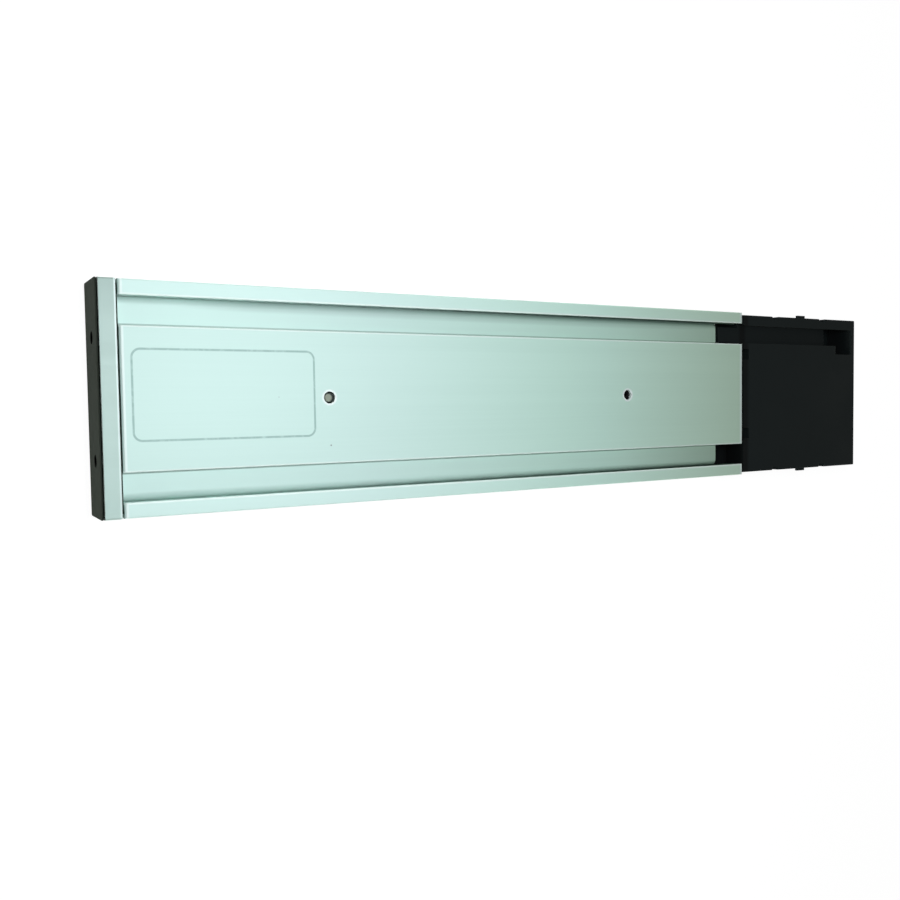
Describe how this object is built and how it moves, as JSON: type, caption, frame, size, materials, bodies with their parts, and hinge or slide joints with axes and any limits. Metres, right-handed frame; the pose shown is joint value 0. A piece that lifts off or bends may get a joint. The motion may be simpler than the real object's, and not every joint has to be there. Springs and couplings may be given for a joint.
{
  "type": "power track",
  "caption": "Short surface-mounted power track: aluminium profile with back rails, grooves and an adapter slot, a screwed end cap and a black plastic feed housing.",
  "frame": {"origin": "middle of the bottom of the whole part, on the plane of the slot face", "axes": "+X along the track from the end cap to the feed housing, +Y across it towards the feed housing's cable entry, +Z out of the back panel, the side that goes against a wall"},
  "size_m": [0.3906, 0.0806, 0.02],
  "materials": {
    "anodised_aluminium": "satin anodised",
    "silver_trim": "matte silver",
    "black_plastic": "fine moulded texture",
    "cap_plastic": "matte moulded",
    "carrier_plastic": "extruded, matte",
    "terminal_plastic": "matte moulded",
    "copper": "bright rolled",
    "zinc_screw": "zinc plated",
    "black_screw": "black oxide"
  },
  "bodies": {
    "root": {"track_extrusion": "anodised_aluminium", "conductor_carrier": "carrier_plastic", "conductor_live": "copper", "conductor_neutral": "copper", "conductor_earth": "copper", "end_cap": "cap_plastic", "end_cap_frame": "silver_trim", "end_cap_screw_upper": "black_screw", "end_cap_screw_lower": "black_screw", "feed_housing": "black_plastic", "feed_cover": "black_plastic", "terminal_block": "terminal_plastic", "panel_screw": "zinc_screw"}
  },
  "joints": []
}
